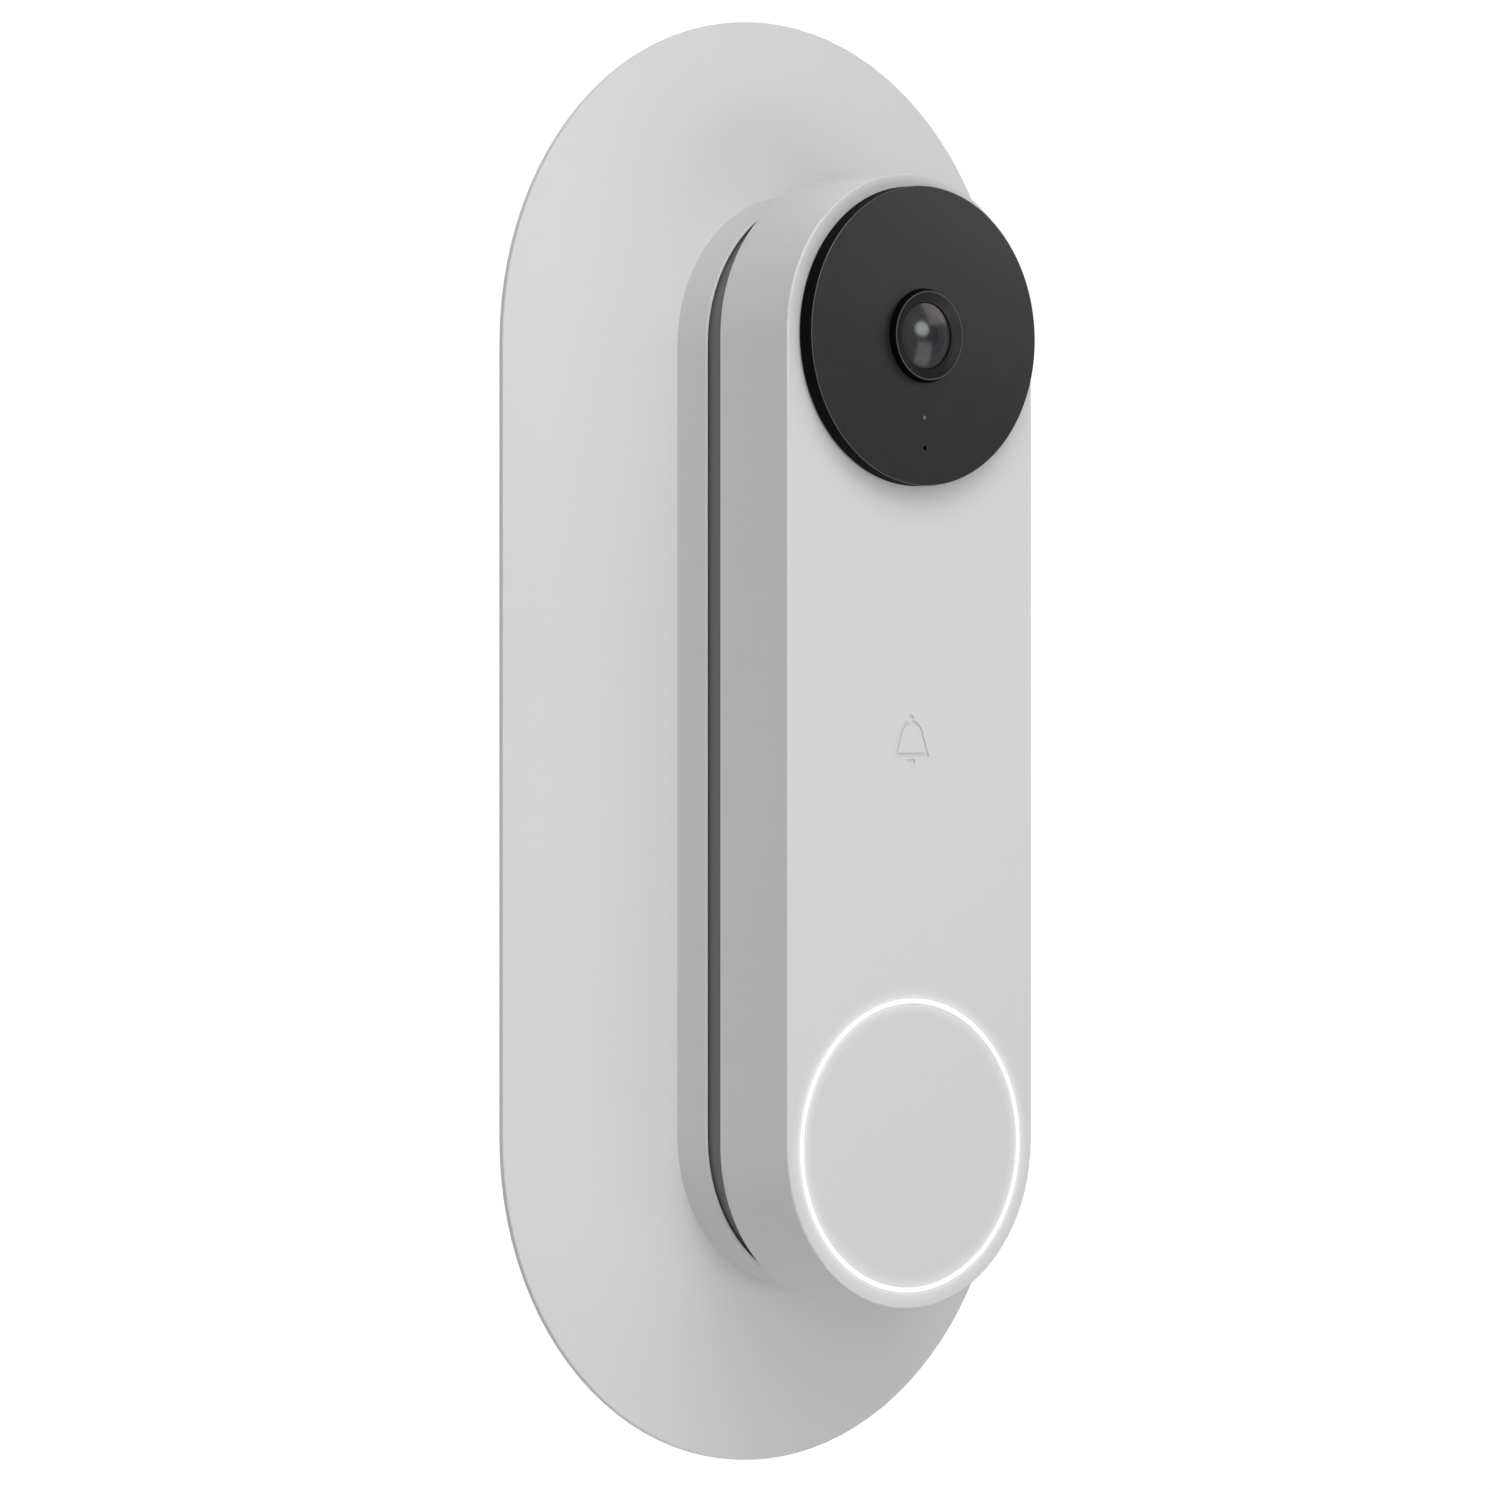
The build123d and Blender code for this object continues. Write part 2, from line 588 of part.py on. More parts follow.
def camera_flex():
    """A ribbon from the camera board, down behind the battery, to the main board."""
    low, high = 15.0, 15.2
    outline = [
        (CAMERA_BOARD_BACK, 50.0), (CAMERA_BOARD_BACK, 46.3), (high, 46.3), (high, -32.8),
        (MAIN_BOARD_BACK, -32.8), (MAIN_BOARD_BACK, -38.0), (MAIN_BOARD_BACK - 0.2, -38.0),
        (MAIN_BOARD_BACK - 0.2, -33.0), (low, -33.0), (low, 46.5), (CAMERA_BOARD_BACK - 0.2, 46.5),
        (CAMERA_BOARD_BACK - 0.2, 50.0),
    ]
    return strip(outline, 9.8, 13.0)


# ---------------------------------------------------------------- battery and boards

def battery_cells():
    split = (BATTERY_BACK + BATTERY_FRONT) / 2
    spans = [(BATTERY_BACK, split - 0.2), (split + 0.2, BATTERY_FRONT)]
    return group(
        rounded_block(
            -BATTERY_HALF_WIDTH, BATTERY_HALF_WIDTH, -29.4, BATTERY_HALF_HEIGHT, d0, d1, 3.0
        )
        for d0, d1 in spans
    )


def battery_tape():
    split = (BATTERY_BACK + BATTERY_FRONT) / 2
    return block(-16, 16, -27, 29, split - 0.2, split + 0.2)


def battery_guard_board():
    return block(-15, 15, -BATTERY_HALF_HEIGHT, -29.6, 20.0, 26.0)


def battery_foam():
    return block(-15, 15, -26, 28, BATTERY_FRONT, SHELL_CEILING)


def battery_lead():
    wires = []
    for x in (4.6, 6.4):
        middle = Pos(x, -24.6, -(BATTERY_HALF_HEIGHT + 37.0) / 2)
        wires.append(middle * Cylinder(0.6, 37.0 - BATTERY_HALF_HEIGHT))
    return group(wires)


def battery_plug():
    return block(3.0, 8.0, -41.0, -37.0, MAIN_BOARD_FRONT, 26.0)


def main_board():
    board = block(-16.5, 16.5, -63.5, -39.0, MAIN_BOARD_BACK, MAIN_BOARD_FRONT)
    return board + block(-13.2, 13.2, -39.0, -34.3, MAIN_BOARD_BACK, MAIN_BOARD_FRONT)


def rf_shield():
    can = rounded_block(-15, 1, -61, -44, MAIN_BOARD_FRONT, 25.2, 0.8)
    return can - block(-14.8, 0.8, -60.8, -44.2, MAIN_BOARD_FRONT - 1, 25.0)


def processor():
    return block(-12.5, -1.5, -58.0, -47.0, MAIN_BOARD_FRONT, 24.4)


def board_chips():
    places = [(5.0, -48.0, 2.5, 0.9), (11.5, -48.0, 2.8, 1.4), (12.0, -57.0, 2.2, 1.0), (5.0, -57.0, 1.6, 0.8)]
    return group(
        block(x - half, x + half, z - half, z + half, MAIN_BOARD_FRONT, MAIN_BOARD_FRONT + height)
        for x, z, half, height in places
    )


def wifi_antenna():
    strip_part = block(-20.8, -20.5, 4, 30, 23.0, 30.0)
    return strip_part - block(-21, -20, 8, 26, 25.0, 26.2) - block(-21, -20, 8, 10, 26.0, 30.5)


# ---------------------------------------------------------------- back of the unit

def usb_outline(half_width, half_height, d0, d1):
    """A rounded slot, long in x, at the charging port."""
    outline = Plane.XZ.offset(d0) * Pos(0, USB_Z) * SlotOverall(2 * half_width, 2 * half_height)
    return extrude(outline, d1 - d0)


def usb_port():
    port = usb_outline(4.47, 1.6, 13.3, MAIN_BOARD_BACK) - usb_outline(4.17, 1.3, 12.5, 20.5)
    return port + block(-3.35, 3.35, USB_Z - 0.35, USB_Z + 0.35, 14.2, 20.6)


def terminal_block():
    body = block(-9.5, 9.5, TERMINAL_Z - 4.5, TERMINAL_Z + 4.5, HOUSING_INSIDE + 0.1, 18.4)
    nose = block(-7.8, 7.8, TERMINAL_Z - 3.3, TERMINAL_Z + 3.3, 14.3, HOUSING_INSIDE + 0.1)
    terminal = body + nose
    for x in (-TERMINAL_X, TERMINAL_X):
        terminal -= post(x, TERMINAL_Z, 1.25, 14, 17.6)
    return terminal


def terminal_screws():
    return group(
        screw(x, TERMINAL_Z, 2.3, 13.1, 14.3, 1.2, 17.4) for x in (-TERMINAL_X, TERMINAL_X)
    )


def reset_button():
    rod = post(RESET_X, RESET_Z, 1.55, 13.3, 19.3)
    return rod + post(RESET_X, RESET_Z, 2.3, HOUSING_INSIDE + 0.1, 15.6)


def reset_switch():
    return block(RESET_X - 1.75, RESET_X + 1.75, RESET_Z - 1.75, RESET_Z + 1.75, 19.85, MAIN_BOARD_BACK)


def speaker():
    box_part = rounded_block(-15, 15, -61, -42, 15.6, 21.2, 2.0)
    return box_part - rounded_block(-12, 12, -59, -44, 15, 16.4, 2.0) + rounded_block(
        -11, 11, -58, -45, 15.9, 16.6, 3.0
    )


def speaker_mesh():
    return block(-10.5, 10.5, -60.0, -43.0, HOUSING_INSIDE, HOUSING_INSIDE + 0.2)


def speaker_gasket():
    ring_part = rounded_block(-13, 13, -60.5, -42.5, 14.7, 15.6, 2.0)
    return ring_part - rounded_block(-10, 10, -59, -44, 14, 16, 1.5)


# ---------------------------------------------------------------- button end

def light_ring():
    """The glowing ring: a tube that shows as a thin circle, on a shoulder over the lamps."""
    ring = tube(0, BUTTON_Z, RING_R, RING_BORE_R, RING_BACK, SHELL_FRONT)
    return ring + tube(0, BUTTON_Z, RING_BORE_R, RING_SHOULDER_R, RING_BACK, RING_SHOULDER)


def guide_places():
    return [polar(GUIDE_CIRCLE_R, degrees, BUTTON_Z) for degrees in (90, 210, 330)]


def button_cap():
    """The round button, with a stem for the switch and three headed guide pins."""
    cap = post(0, BUTTON_Z, BUTTON_R, BUTTON_BACK, SHELL_FRONT)
    cap = fillet(cap.faces().sort_by(Axis.Y)[0].edges(), 0.15)
    cap += post(0, BUTTON_Z, 2.4, STEM_TOP, BUTTON_BACK)
    for degrees in range(0, 360, 60):
        web = Pos(9.5, -(BUTTON_BACK - 0.15), 0) * Box(14, 0.3, 0.8)
        cap += Pos(0, 0, BUTTON_Z) * Rot(0, degrees, 0) * web
    for x, z in guide_places():
        cap += post(x, z, GUIDE_PIN_R, 26.2, BUTTON_BACK)
        cap += post(x, z, 1.4, 26.1, BUTTON_BOARD_BACK - 0.1)
    return cap


def switch_stem():
    return post(0, BUTTON_Z, 1.6, 28.95, STEM_TOP)


def button_switch():
    case = rounded_block(-3.1, 3.1, BUTTON_Z - 3.1, BUTTON_Z + 3.1, BUTTON_BOARD_FRONT, 29.8, 0.4)
    return case - post(0, BUTTON_Z, 1.7, 28.4, 30)


def button_seal():
    seal = tube(0, BUTTON_Z, 19.7, 5.2, RING_SHOULDER, 30.6) + tube(0, BUTTON_Z, 6.2, 5.2, 30.6, 31.0)
    for x, z in guide_places():
        seal -= post(x, z, GUIDE_PIN_R + 0.3, 30, 31)
    return seal


def button_board():
    board = post(0, BUTTON_Z, 18.6, BUTTON_BOARD_BACK, BUTTON_BOARD_FRONT)
    for x, z in guide_places():
        board -= post(x, z, GUIDE_PIN_R + 0.15, 26, 29)
    for x in (-11.4, 11.4):
        board -= post(x, -70.0, 1.0, 26, 29)
    return board


def ring_leds():
    pieces = []
    for index in range(RING_LED_COUNT):
        x, z = polar(RING_LED_CIRCLE_R, 360 / RING_LED_COUNT * index, BUTTON_Z)
        pieces.append(block(x - 0.8, x + 0.8, z - 0.8, z + 0.8, BUTTON_BOARD_FRONT, 28.8))
    return group(pieces)


def board_screws():
    return group(screw(x, -70.0, 1.8, BUTTON_BOARD_FRONT, 29.1, 0.85, 26.05) for x in (-11.4, 11.4))


def button_flex():
    """A ribbon from the main board forward to the button board."""
    outline = [
        (MAIN_BOARD_FRONT, -60.6), (MAIN_BOARD_FRONT, -62.8), (BUTTON_BOARD_BACK, -62.8),
        (BUTTON_BOARD_BACK, -60.6), (BUTTON_BOARD_BACK - 0.2, -60.6), (BUTTON_BOARD_BACK - 0.2, -62.6),
        (MAIN_BOARD_FRONT + 0.2, -62.6), (MAIN_BOARD_FRONT + 0.2, -60.6),
    ]
    return strip(outline, 1.6, 7.6)


# ---------------------------------------------------------------- release slider

def release_slider():
    """The block behind the pin hole that a release pin pushes down onto the latch's nose."""
    slider = block(-5.2, 5.2, 70.5, 75.0, 15.9, 17.85)
    slider -= block(-6, 6, 70, 71.2, 15, 16.5)
    return slider - Pos(0, -LATCH_PIN_STANDOFF, 75) * Cylinder(LATCH_PIN_R - 0.1, 2.4)


NODES = [
    wall_plate, mount_bracket, bracket_screws, rest_pads, latch_clip, latch_screw,
    front_shell, rear_housing, housing_seal, housing_screws, vent_membrane,
    camera_window, window_adhesive, lens_bezel, lens_dome, lens_barrel, lens_elements, lens_holder,
    ir_filter, image_sensor, camera_board, sensor_board, ir_leds, status_led, light_pipe,
    microphone, mic_gasket, sensor_flex, camera_flex,
    battery_cells, battery_tape, battery_guard_board, battery_foam, battery_lead, battery_plug,
    main_board, rf_shield, processor, board_chips, wifi_antenna,
    usb_port, terminal_block, terminal_screws, reset_button, reset_switch,
    speaker, speaker_mesh, speaker_gasket,
    light_ring, button_cap, switch_stem, button_switch, button_seal, button_board, ring_leds,
    board_screws, button_flex, release_slider,
]

os.makedirs("parts", exist_ok=True)
for make in NODES:
    export_step(make(), f"parts/{make.__name__}.step")
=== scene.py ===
import json
import math

import bmesh
import bpy
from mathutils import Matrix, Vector


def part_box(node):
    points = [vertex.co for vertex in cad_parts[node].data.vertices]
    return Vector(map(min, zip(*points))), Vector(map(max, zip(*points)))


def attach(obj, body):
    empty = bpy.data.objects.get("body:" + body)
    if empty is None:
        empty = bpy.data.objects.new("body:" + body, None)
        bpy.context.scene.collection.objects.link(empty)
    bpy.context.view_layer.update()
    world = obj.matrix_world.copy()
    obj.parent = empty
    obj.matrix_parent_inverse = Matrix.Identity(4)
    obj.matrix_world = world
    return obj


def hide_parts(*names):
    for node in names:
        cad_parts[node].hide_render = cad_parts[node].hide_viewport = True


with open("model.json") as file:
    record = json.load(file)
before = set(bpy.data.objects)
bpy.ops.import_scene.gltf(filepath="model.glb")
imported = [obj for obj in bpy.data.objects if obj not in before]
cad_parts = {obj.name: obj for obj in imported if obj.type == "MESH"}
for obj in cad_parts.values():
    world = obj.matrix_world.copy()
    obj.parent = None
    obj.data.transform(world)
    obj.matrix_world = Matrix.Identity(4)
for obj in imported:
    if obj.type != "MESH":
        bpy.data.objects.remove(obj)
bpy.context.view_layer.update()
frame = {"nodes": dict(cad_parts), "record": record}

# A video doorbell on its wall trim plate, in metres. The wall is the plane y = 0 and the front
# faces -Y. A standoff is a distance from the wall, so a standoff of d lies at y = -d.

MM = 0.001
FIT_GAP = 0.05 * MM         # between pieces that fit in one another

# ---------------------------------------------------------------- places read from the frame

window_low, window_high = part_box("camera_window")
bezel_low, bezel_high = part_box("lens_bezel")
dome_low, dome_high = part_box("lens_dome")
ring_low, ring_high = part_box("light_ring")
cap_low, cap_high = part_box("button_cap")
pipe_low, pipe_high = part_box("light_pipe")
gasket_low, gasket_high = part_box("mic_gasket")
board_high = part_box("button_board")[1]

CAMERA_Z = (window_low.z + window_high.z) / 2
BUTTON_Z = (ring_low.z + ring_high.z) / 2
STATUS_Z = (pipe_low.z + pipe_high.z) / 2
MIC_Z = (gasket_low.z + gasket_high.z) / 2

WINDOW_R = window_high.x
WINDOW_BACK = -window_high.y
WINDOW_FRONT = -window_low.y
WINDOW_SEAT = WINDOW_FRONT - 2.4 * MM
WINDOW_BOSS_R = WINDOW_R - 1.8 * MM
WINDOW_BEVEL = 0.22 * MM
PIN_HOLE_R = 0.3 * MM
LIGHT_WELL_R = 0.9 * MM
LIGHT_WELL_FRONT = WINDOW_FRONT - 2.0 * MM

BEZEL_R = bezel_high.x
BEZEL_LIP_R = 6.3 * MM
BEZEL_BACK = -bezel_high.y
BEZEL_FRONT = -bezel_low.y
BEZEL_BORE_R = 4.0 * MM
BEZEL_LIP_WIDTH = 0.18 * MM
CONE_R = 5.1 * MM
CONE_DEPTH = 0.5 * MM

DOME_R = dome_high.x
DOME_BACK = 35.2 * MM
DOME_EDGE = 36.6 * MM
DOME_CROWN = -dome_low.y
DOME_HOLLOW = 0.3 * MM

CAP_R = cap_high.x
RING_R = ring_high.x
RING_FRONT = -ring_low.y
RING_BACK = -ring_high.y
RING_SHOULDER = RING_BACK + 1.0 * MM
RING_SHOULDER_R = 16.4 * MM
RING_BORE_R = CAP_R + FIT_GAP
RING_GLOW_R = (RING_R + RING_BORE_R) / 2
RING_ROUND = 0.08 * MM

CAP_FRONT = -cap_low.y
CAP_BACK = CAP_FRONT - 1.6 * MM
CAP_ROUND = 0.1 * MM
STEM_R = 2.4 * MM
STEM_END = CAP_BACK - 1.5 * MM
GUIDE_CIRCLE_R = 11.0 * MM
GUIDE_R = 1.0 * MM
GUIDE_HEAD_R = 1.4 * MM
GUIDE_BITE = 0.4 * MM       # how far a pin's neck runs into the cap
GUIDE_END = -cap_high.y
GUIDE_HEAD_END = -board_high.y - 0.1 * MM


# ---------------------------------------------------------------- mesh helpers

def link(name, mesh):
    piece = bpy.data.objects.new(name, mesh)
    bpy.context.scene.collection.objects.link(piece)
    return piece


def clean(mesh):
    """Join points that coincide and turn every face outward."""
    edit = bmesh.new()
    edit.from_mesh(mesh)
    bmesh.ops.remove_doubles(edit, verts=edit.verts, dist=0.0005 * MM)
    bmesh.ops.recalc_face_normals(edit, faces=edit.faces)
    edit.to_mesh(mesh)
    edit.free()


def shade(piece, degrees=30):
    """Smooth across rounded corners, crisp at hard ones, with flat faces kept flat."""
    piece.data.shade_smooth()
    piece.data.set_sharp_from_angle(angle=math.radians(degrees))
    weighted = piece.modifiers.new("flat faces", "WEIGHTED_NORMAL")
    weighted.keep_sharp = True


def soften(corners, steps=6):
    """Points round an outline whose corners are (radius, standoff, rounding)."""
    points = []
    for index, (radius, standoff, rounding) in enumerate(corners):
        here = Vector((radius, standoff))
        if rounding == 0:
            points.append(here)
            continue
        back = (Vector(corners[index - 1][:2]) - here).normalized()
        ahead = (Vector(corners[(index + 1) % len(corners)][:2]) - here).normalized()
        half = back.angle(ahead) / 2
        centre = here + (back + ahead).normalized() * rounding / math.sin(half)
        first = here + back * rounding / math.tan(half) - centre
        last = here + ahead * rounding / math.tan(half) - centre
        start = math.atan2(first.y, first.x)
        swing = math.remainder(math.atan2(last.y, last.x) - start, 2 * math.pi)
        for step in range(steps + 1):
            angle = start + swing * step / steps
            points.append(centre + rounding * Vector((math.cos(angle), math.sin(angle))))
    return points


def turn(name, outline, centre_z, centre_x=0.0, steps=160, closed=True):
    """Turn an outline of (radius, standoff) points about a line that leaves the wall."""
    count = len(outline)
    vertices = []
    for step in range(steps):
        angle = 2 * math.pi * step / steps
        for radius, standoff in outline:
            x = centre_x + radius * math.cos(angle)
            z = centre_z + radius * math.sin(angle)
            vertices.append((x, -standoff, z))
    faces = []
    for step in range(steps):
        near = step * count
        far = (step + 1) % steps * count
        for index in range(count if closed else count - 1):
            after = (index + 1) % count
            faces.append((near + index, far + index, far + after, near + after))
    mesh = bpy.data.meshes.new(name)
    mesh.from_pydata(vertices, [], faces)
    clean(mesh)
    return link(name, mesh)


def rod(name, x, z, radius, low, high, steps=48):
    """A plain round bar between two standoffs, used to cut or to add."""
    return turn(name, [(0, low), (radius, low), (radius, high), (0, high)], z, x, steps, closed=False)


def shape(piece, tool, operation):
    """Cut the tool from the piece, or join it to the piece, and throw the tool away."""
    step = piece.modifiers.new("shape", "BOOLEAN")
    step.operation = operation
    step.solver = "EXACT"
    step.object = tool
    depsgraph = bpy.context.evaluated_depsgraph_get()
    mesh = bpy.data.meshes.new_from_object(piece.evaluated_get(depsgraph))
    piece.modifiers.remove(step)
    piece.data = mesh
    bpy.data.objects.remove(tool)


def polar(radius, degrees):
    angle = math.radians(degrees)
    return radius * math.cos(angle), radius * math.sin(angle)


# ---------------------------------------------------------------- material helpers

# The glow fades from one strength to another over a span of distances from the ring's middle line.
RING_HALF_WIDTH = 0.5 * MM
RING_CORE = 0.65
RING_EDGE = 0.25
RING_SPAN = (0.12 * MM, 0.48 * MM)
# The HALO values set the painted glow on the white plastic round the ring: emission standing in for the
# ring's light on it.
HALO_WIDE = 0.08
HALO_WIDE_SPAN = (0.2 * MM, 2.3 * MM)
HALO_TIGHT = 0.26
HALO_TIGHT_SPAN = (0.3 * MM, 0.9 * MM)


def material(name):
    made = bpy.data.materials.new(name)
    made.use_nodes = True
    nodes = made.node_tree.nodes
    return made, nodes, made.node_tree.links, nodes["Principled BSDF"]


def object_point(nodes, links, stretch=(1, 1, 1), shift=(0, 0, 0)):
    """The point on the piece, scaled and shifted."""
    place = nodes.new("ShaderNodeTexCoord")
    mapping = nodes.new("ShaderNodeMapping")
    mapping.inputs["Scale"].default_value = stretch
    mapping.inputs["Location"].default_value = shift
    links.new(place.outputs["Object"], mapping.inputs["Vector"])
    return mapping.outputs["Vector"]


def noise(nodes, links, scale, detail=3.0, roughness=0.5, stretch=(1, 1, 1)):
    """Noise with about this many features to the metre."""
    texture = nodes.new("ShaderNodeTexNoise")
    texture.inputs["Scale"].default_value = scale
    texture.inputs["Detail"].default_value = detail
    texture.inputs["Roughness"].default_value = roughness
    links.new(object_point(nodes, links, stretch), texture.inputs["Vector"])
    return texture.outputs["Fac"]


def ramp(nodes, links, source, stops):
    """A colour ramp over a value. The stops are (place, colour)."""
    made = nodes.new("ShaderNodeValToRGB")
    band = made.color_ramp
    while len(band.elements) < len(stops):
        band.elements.new(0.5)
    for element, (place, colour) in zip(band.elements, stops):
        element.position = place
        element.color = (*colour, 1)
    links.new(source, made.inputs["Fac"])
    return made.outputs["Color"]


def spread(nodes, links, source, low, high, from_low=0.3, from_high=0.7, smooth=False):
    """Map a value from one range to another. Noise lies mostly between 0.3 and 0.7."""
    made = nodes.new("ShaderNodeMapRange")
    if smooth:
        made.interpolation_type = "SMOOTHERSTEP"
    made.inputs["From Min"].default_value = from_low
    made.inputs["From Max"].default_value = from_high
    made.inputs["To Min"].default_value = low
    made.inputs["To Max"].default_value = high
    links.new(source, made.inputs["Value"])
    return made.outputs["Result"]


def bump(nodes, links, shader, source, distance):
    made = nodes.new("ShaderNodeBump")
    made.inputs["Distance"].default_value = distance
    links.new(source, made.inputs["Height"])
    links.new(made.outputs["Normal"], shader.inputs["Normal"])


def tinted(colour, amount):
    return tuple(min(1.0, part * amount) for part in colour)


def sum_of(nodes, links, first, second):
    made = nodes.new("ShaderNodeMath")
    made.operation = "ADD"
    links.new(first, made.inputs[0])
    links.new(second, made.inputs[1])
    return made.outputs["Value"]


def distance_from_axis(nodes, links, axis_z):
    """How far a point lies from a line that leaves the wall at height axis_z."""
    flat = object_point(nodes, links, (1, 0, 1), (0, 0, -axis_z))
    length = nodes.new("ShaderNodeVectorMath")
    length.operation = "LENGTH"
    links.new(flat, length.inputs[0])
    return length.outputs["Value"]


def ring_distance(nodes, links):
    """How far a point on the front is from the glowing ring's middle line."""
    away = nodes.new("ShaderNodeMath")
    away.operation = "SUBTRACT"
    away.inputs[1].default_value = RING_GLOW_R
    links.new(distance_from_axis(nodes, links, BUTTON_Z), away.inputs[0])
    size = nodes.new("ShaderNodeMath")
    size.operation = "ABSOLUTE"
    links.new(away.outputs["Value"], size.inputs[0])
    return size.outputs["Value"]


def add_painted_ring_glow(nodes, links, shader):
    """Painted glow: emission on the face round the ring, standing in for the ring's light falling on it, a
    wide faint glow and a tight bright one.
    """
    near = ring_distance(nodes, links)
    wide = spread(nodes, links, near, HALO_WIDE, 0.0, *HALO_WIDE_SPAN, smooth=True)
    tight = spread(nodes, links, near, HALO_TIGHT, 0.0, *HALO_TIGHT_SPAN, smooth=True)
    links.new(sum_of(nodes, links, wide, tight), shader.inputs["Emission Strength"])
    shader.inputs["Emission Color"].default_value = (1, 1, 1, 1)


def moulded(name, colour, roughness, tint=0.01, grain=3200.0, depth=0.01 * MM, gloss=0.5):
    """Moulded plastic: spark-eroded grain, faint flow in the colour, and an uneven sheen."""
    made, nodes, links, shader = material(name)
    flow = noise(nodes, links, 14.0, 1.0)
    stops = [(0.35, tinted(colour, 1 - tint)), (0.65, tinted(colour, 1 + tint))]
    links.new(ramp(nodes, links, flow, stops), shader.inputs["Base Color"])
    sheen = noise(nodes, links, 260.0, 4.0)
    links.new(spread(nodes, links, sheen, roughness - 0.03, roughness + 0.03), shader.inputs["Roughness"])
    bump(nodes, links, shader, noise(nodes, links, grain, 2.0, 0.6), depth)
    shader.inputs["Specular IOR Level"].default_value = gloss
    return made


def white_shell(name):
    """The body's white plastic, with a painted glow where it lies close to the glowing ring."""
    made = moulded(name, WHITE, 0.5)
    tree = made.node_tree
    add_painted_ring_glow(tree.nodes, tree.links, tree.nodes["Principled BSDF"])
    return made


def satin_black(name, colour, roughness, tint):
    """Black plastic with a very fine grain and a weak shine."""
    return moulded(name, colour, roughness, tint, grain=6000.0, depth=0.001 * MM, gloss=0.32)


def metal(name, colour, roughness, stretch=(1, 1, 1), scale=900.0):
    """Drawn or plated metal with fine lines along one axis."""
    made, nodes, links, shader = material(name)
    shader.inputs["Metallic"].default_value = 1.0
    lines = noise(nodes, links, scale, 4.0, 0.6, stretch)
    stops = [(0.3, tinted(colour, 0.85)), (0.7, colour)]
    links.new(ramp(nodes, links, lines, stops), shader.inputs["Base Color"])
    links.new(spread(nodes, links, lines, roughness - 0.06, roughness + 0.08), shader.inputs["Roughness"])
    bump(nodes, links, shader, lines, 0.01 * MM)
    return made


def circuit_board(name):
    """Green solder mask over tracks that run in steps."""
    made, nodes, links, shader = material(name)
    tracks = nodes.new("ShaderNodeTexBrick")
    tracks.inputs["Scale"].default_value = 420.0
    tracks.inputs["Mortar Size"].default_value = 0.03
    tracks.inputs["Color1"].default_value = (0.012, 0.085, 0.04, 1)
    tracks.inputs["Color2"].default_value = (0.018, 0.11, 0.05, 1)
    tracks.inputs["Mortar"].default_value = (0.03, 0.17, 0.075, 1)
    upright = nodes.new("ShaderNodeMapping")
    upright.inputs["Rotation"].default_value = (math.radians(90), 0, 0)
    links.new(object_point(nodes, links), upright.inputs["Vector"])
    links.new(upright.outputs["Vector"], tracks.inputs["Vector"])
    links.new(tracks.outputs["Color"], shader.inputs["Base Color"])
    links.new(spread(nodes, links, noise(nodes, links, 500.0), 0.28, 0.4), shader.inputs["Roughness"])
    bump(nodes, links, shader, tracks.outputs["Fac"], 0.03 * MM)
    return made


def rubber(name, colour, roughness=0.65):
    return moulded(name, colour, roughness, tint=0.08, grain=1500.0, depth=0.02 * MM)


def cells(name, colour):
    """Closed-cell foam: small round pits, painted darker as shade in them."""
    made, nodes, links, shader = material(name)
    pits = nodes.new("ShaderNodeTexVoronoi")
    pits.inputs["Scale"].default_value = 2200.0
    links.new(object_point(nodes, links), pits.inputs["Vector"])
    depth = pits.outputs["Distance"]
    # Painted shade: the colour darkens towards each pit's middle, over the same pattern that makes the bump.
    stops = [(0.1, tinted(colour, 0.4)), (0.6, colour)]
    links.new(ramp(nodes, links, depth, stops), shader.inputs["Base Color"])
    shader.inputs["Roughness"].default_value = 0.9
    bump(nodes, links, shader, depth, 0.08 * MM)
    return made


def glass(name, colour, roughness, transmission=1.0):
    made, nodes, links, shader = material(name)
    shader.inputs["Transmission Weight"].default_value = transmission
    shader.inputs["IOR"].default_value = 1.52
    stops = [(0.3, colour), (0.7, tinted(colour, 1.06))]
    links.new(ramp(nodes, links, noise(nodes, links, 40.0), stops), shader.inputs["Base Color"])
    smears = noise(nodes, links, 900.0)
    links.new(spread(nodes, links, smears, roughness, roughness + 0.02), shader.inputs["Roughness"])
    return made


def coated_lens(name):
    """Dark lens glass with painted shade: darkest in the middle, with faint lighter rings further out, for
    the depth seen into the lens.
    """
    made, nodes, links, shader = material(name)
    across = spread(nodes, links, distance_from_axis(nodes, links, CAMERA_Z), 0.0, 1.0, 0.0, DOME_R)
    # Painted shade of the lens's depth, in rings by distance from the lens's middle.
    rings = [
        (0.0, (0.004, 0.004, 0.006)), (0.36, (0.005, 0.005, 0.008)), (0.42, (0.016, 0.015, 0.019)),
        (0.66, (0.014, 0.013, 0.016)), (0.7, (0.024, 0.022, 0.026)), (0.97, (0.018, 0.017, 0.019)),
        (1.0, (0.004, 0.004, 0.004)),
    ]
    links.new(ramp(nodes, links, across, rings), shader.inputs["Base Color"])
    links.new(spread(nodes, links, noise(nodes, links, 700.0), 0.13, 0.16), shader.inputs["Roughness"])
    shader.inputs["IOR"].default_value = 1.5
    return made


def glowing(name, colour, strength, milk=(0.9, 0.9, 0.92)):
    """A milky diffuser lit from behind, a little uneven across its face."""
    made, nodes, links, shader = material(name)
    uneven = noise(nodes, links, 90.0, 1.0)
    shader.inputs["Base Color"].default_value = (*milk, 1)
    shader.inputs["Roughness"].default_value = 0.35
    stops = [(0.3, tinted(colour, 0.97)), (0.7, colour)]
    links.new(ramp(nodes, links, uneven, stops), shader.inputs["Emission Color"])
    shader.inputs["Emission Strength"].default_value = strength
    return made


